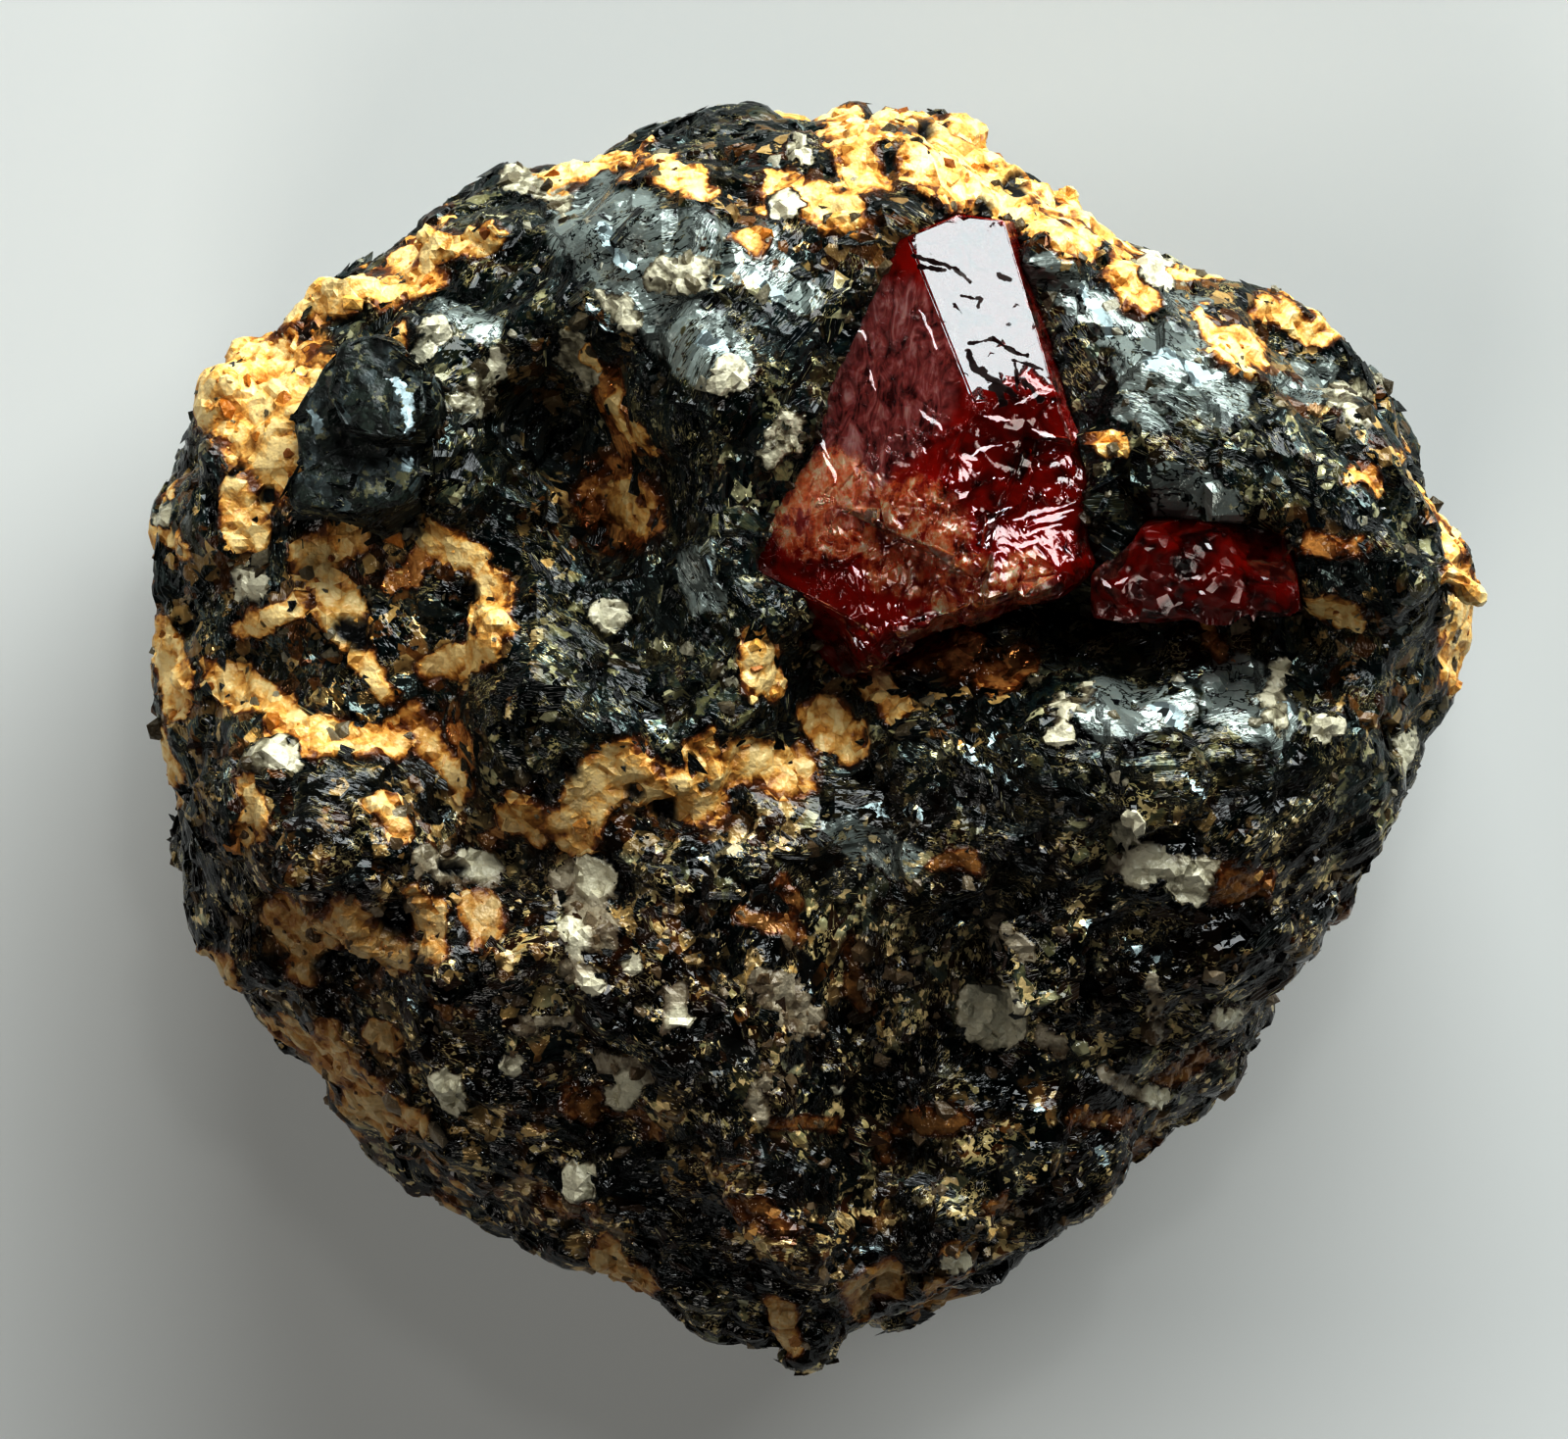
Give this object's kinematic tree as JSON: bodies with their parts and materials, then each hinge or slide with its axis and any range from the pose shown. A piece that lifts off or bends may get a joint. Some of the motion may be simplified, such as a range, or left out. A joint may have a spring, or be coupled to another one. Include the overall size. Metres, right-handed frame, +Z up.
{
  "type": "zircon on matrix specimen",
  "caption": "Small mineral specimen: a deep red zircon crystal and a smaller one set in a rounded, mica-rich matrix.",
  "frame": {"origin": "middle of the footprint's bounding box, on the surface the specimen rests on", "axes": "+Z up, out of the face that carries the crystals; +Y towards the large crystal's pyramid end; +X towards the small crystal"},
  "size_m": [0.0328, 0.0312, 0.0188],
  "materials": {
    "matrix_rock": "rough, glittering mica schist with ochre patches",
    "zircon": "deep red, glossy",
    "mica": "black-green, glossy cleavage"
  },
  "bodies": {
    "root": {"matrix_rock": "matrix_rock", "zircon_large": "zircon", "zircon_small": "zircon", "mica_crystal": "mica"}
  },
  "joints": []
}
